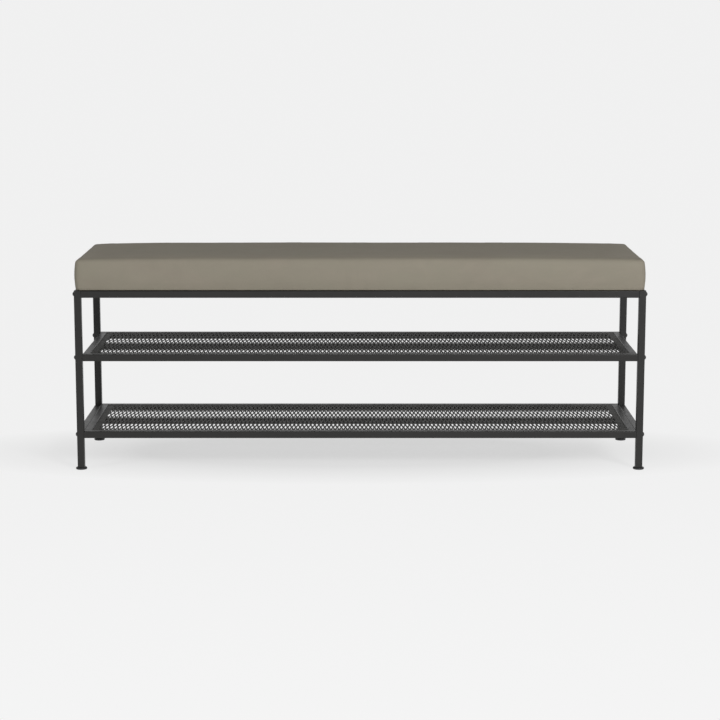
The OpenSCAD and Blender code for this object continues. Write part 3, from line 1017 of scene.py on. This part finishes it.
def studio_ground(name, studio):
    """A pale matt ground, clear from below. The camera and mirrors see it lifted towards a pale tone, partly
    where the bench's shadow lies and fully further off; that tone is painted light, brighter towards the
    camera."""
    shadow_x, shadow_y, reach_x, reach_y = -0.03, 0.03, 0.92, 0.32
    shade = Shade(name, Roughness=0.9)
    cloud = shade.noise(1.2, 2.0)
    shade.feed("Base Color", shade.mix(cloud, grey(studio.backdrop), grey(studio.backdrop * 0.98)))
    x, y, z = shade.axes()
    # Painted light: the ground's glow is painted brighter towards the camera.
    near = (-y).between(0.1, 2.2)
    lifted = shade.mix(near, grey(studio.lift), grey(studio.lift_near))
    glow = shade.node("ShaderNodeEmission", {}, {"Color": lifted, "Strength": 1.0})
    across = ((x - shadow_x) / reach_x) ** 2.0
    deep = ((y - shadow_y) / reach_y) ** 2.0
    away = (across + deep + (z * 2.0) ** 2.0).math("SQRT")
    share = away.between(0.5, 1.05) * (1.0 - studio.shadow_lift) + studio.shadow_lift
    direct = shade.node("ShaderNodeLightPath", out="Is Camera Ray")
    mirrored = shade.node("ShaderNodeLightPath", out="Is Glossy Ray")
    matt = Field(shade, shade.shader.outputs["BSDF"])
    mixed = shade.node("ShaderNodeMixShader", {}, {
        "Fac": direct.math("MAXIMUM", mirrored) * share, "Shader": matt, "Shader_001": glow})
    clear = shade.node("ShaderNodeBsdfTransparent")
    # The sweep's faces look down, so their backs are what is seen from above.
    above = shade.node("ShaderNodeNewGeometry", out="Backfacing")
    whole = shade.node("ShaderNodeMixShader", {}, {
        "Fac": above, "Shader": clear, "Shader_001": mixed})
    shade.tree.links.new(whole.socket, shade.tree.nodes["Material Output"].inputs["Surface"])
    return shade.material


def studio_sky(name, studio):
    """Even light from all round; the camera sees it at the backdrop's own tone."""
    world = bpy.data.worlds.new(name)
    world.use_nodes = True
    sky = Sky(world.node_tree)
    direct = sky.node("ShaderNodeLightPath", out="Is Camera Ray")
    strength = direct * (studio.lift - studio.air) + studio.air
    background = sky.tree.nodes["Background"]
    background.inputs["Color"].default_value = grey(1.0)
    sky.tree.links.new(strength.socket, background.inputs["Strength"])
    return world


class BENCH_OT_studio(bpy.types.Operator):
    """Sets the camera, the pale sweep and the soft lights"""
    bl_idname = "bench.studio"
    bl_label = "Studio"

    def execute(self, context):
        studio = context.scene.bench_studio
        self.camera(context, studio)
        self.sweep(studio)
        self.lights(context, studio)
        context.scene.view_settings.view_transform = "Standard"
        return {"FINISHED"}

    def camera(self, context, studio):
        data = bpy.data.cameras.new("studio_camera")
        data.lens = studio.lens
        data.sensor_width = 36.0
        data.clip_end = 60.0
        camera = bpy.data.objects.new("studio_camera", data)
        legs_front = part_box("leg_front_left")[0].y
        camera.location = (0.0, legs_front - studio.camera_distance, studio.camera_height)
        camera.rotation_euler = (math.radians(90.0) - studio.camera_pitch, 0.0, 0.0)
        context.scene.collection.objects.link(camera)
        context.scene.camera = camera

    def sweep(self, studio):
        """A floor that turns up into a backdrop far behind the bench."""
        bm = bmesh.new()
        half, front, back, turn, height = 14.0, -16.0, 9.0, 3.0, 14.0
        profile = [(front, 0.0), (0.0, 0.0), (back - turn, 0.0)]
        profile += [(back - turn + turn * math.sin(a), turn * (1.0 - math.cos(a)))
                    for a in (math.radians(7.5 * k) for k in range(1, 13))]
        profile.append((back, height))
        rows = [[bm.verts.new((x, y, z)) for x in (-half, half)] for y, z in profile]
        for low, high in zip(rows, rows[1:]):
            bm.faces.new((low[0], low[1], high[1], high[0]))
        floor = new_piece("studio_sweep", bm, [studio_ground("studio_white", studio)], 60)

    def lights(self, context, studio):
        """Even air, a stronger soft light from the right and a weaker one from the left."""
        context.scene.world = studio_sky("studio_air", studio)
        target = Vector((0.0, 0.0, 0.25))
        for name, place, watts in (("key_right", Vector((2.7, -4.7, 2.6)), studio.key),
                                   ("key_left", Vector((-4.4, -3.3, 2.6)), studio.key * studio.fill)):
            data = bpy.data.lights.new(name, "AREA")
            data.shape = "DISK"
            data.size = studio.lamp_d
            data.energy = watts
            lamp = bpy.data.objects.new(name, data)
            lamp.location = place
            lamp.rotation_euler = (target - place).to_track_quat("-Z", "Y").to_euler()
            context.scene.collection.objects.link(lamp)


# ---- Panel and registration ----

OPERATORS = (BENCH_OT_studio, BENCH_OT_steel, BENCH_OT_shelves, BENCH_OT_seat,
             BENCH_OT_fasteners, BENCH_OT_feet)
GROUPS = (("bench_steel", BenchSteel), ("bench_mesh", BenchMesh),
          ("bench_seat", BenchSeat), ("bench_studio", BenchStudio))


class BENCH_PT_panel(bpy.types.Panel):
    """Lists the bench's operators"""
    bl_idname = "BENCH_PT_panel"
    bl_label = "Entryway Bench"
    bl_space_type = "VIEW_3D"
    bl_region_type = "UI"
    bl_category = "Bench"

    def draw(self, context):
        for operator in OPERATORS:
            self.layout.operator(operator.bl_idname)
        for name, group in GROUPS:
            box = self.layout.box()
            for prop in group.__annotations__:
                box.prop(getattr(context.scene, name), prop)


def register():
    for name, group in GROUPS:
        bpy.utils.register_class(group)
        setattr(bpy.types.Scene, name, bpy.props.PointerProperty(type=group))
    for cls in OPERATORS + (BENCH_PT_panel,):
        bpy.utils.register_class(cls)


def unregister():
    for cls in reversed(OPERATORS + (BENCH_PT_panel,)):
        bpy.utils.unregister_class(cls)
    for name, group in reversed(GROUPS):
        delattr(bpy.types.Scene, name)
        bpy.utils.unregister_class(group)


def main():
    register()
    bpy.ops.bench.studio()
    bpy.ops.bench.steel()
    bpy.ops.bench.shelves()
    bpy.ops.bench.seat()
    bpy.ops.bench.fasteners()
    bpy.ops.bench.feet()


if __name__ == "__main__":
    main()
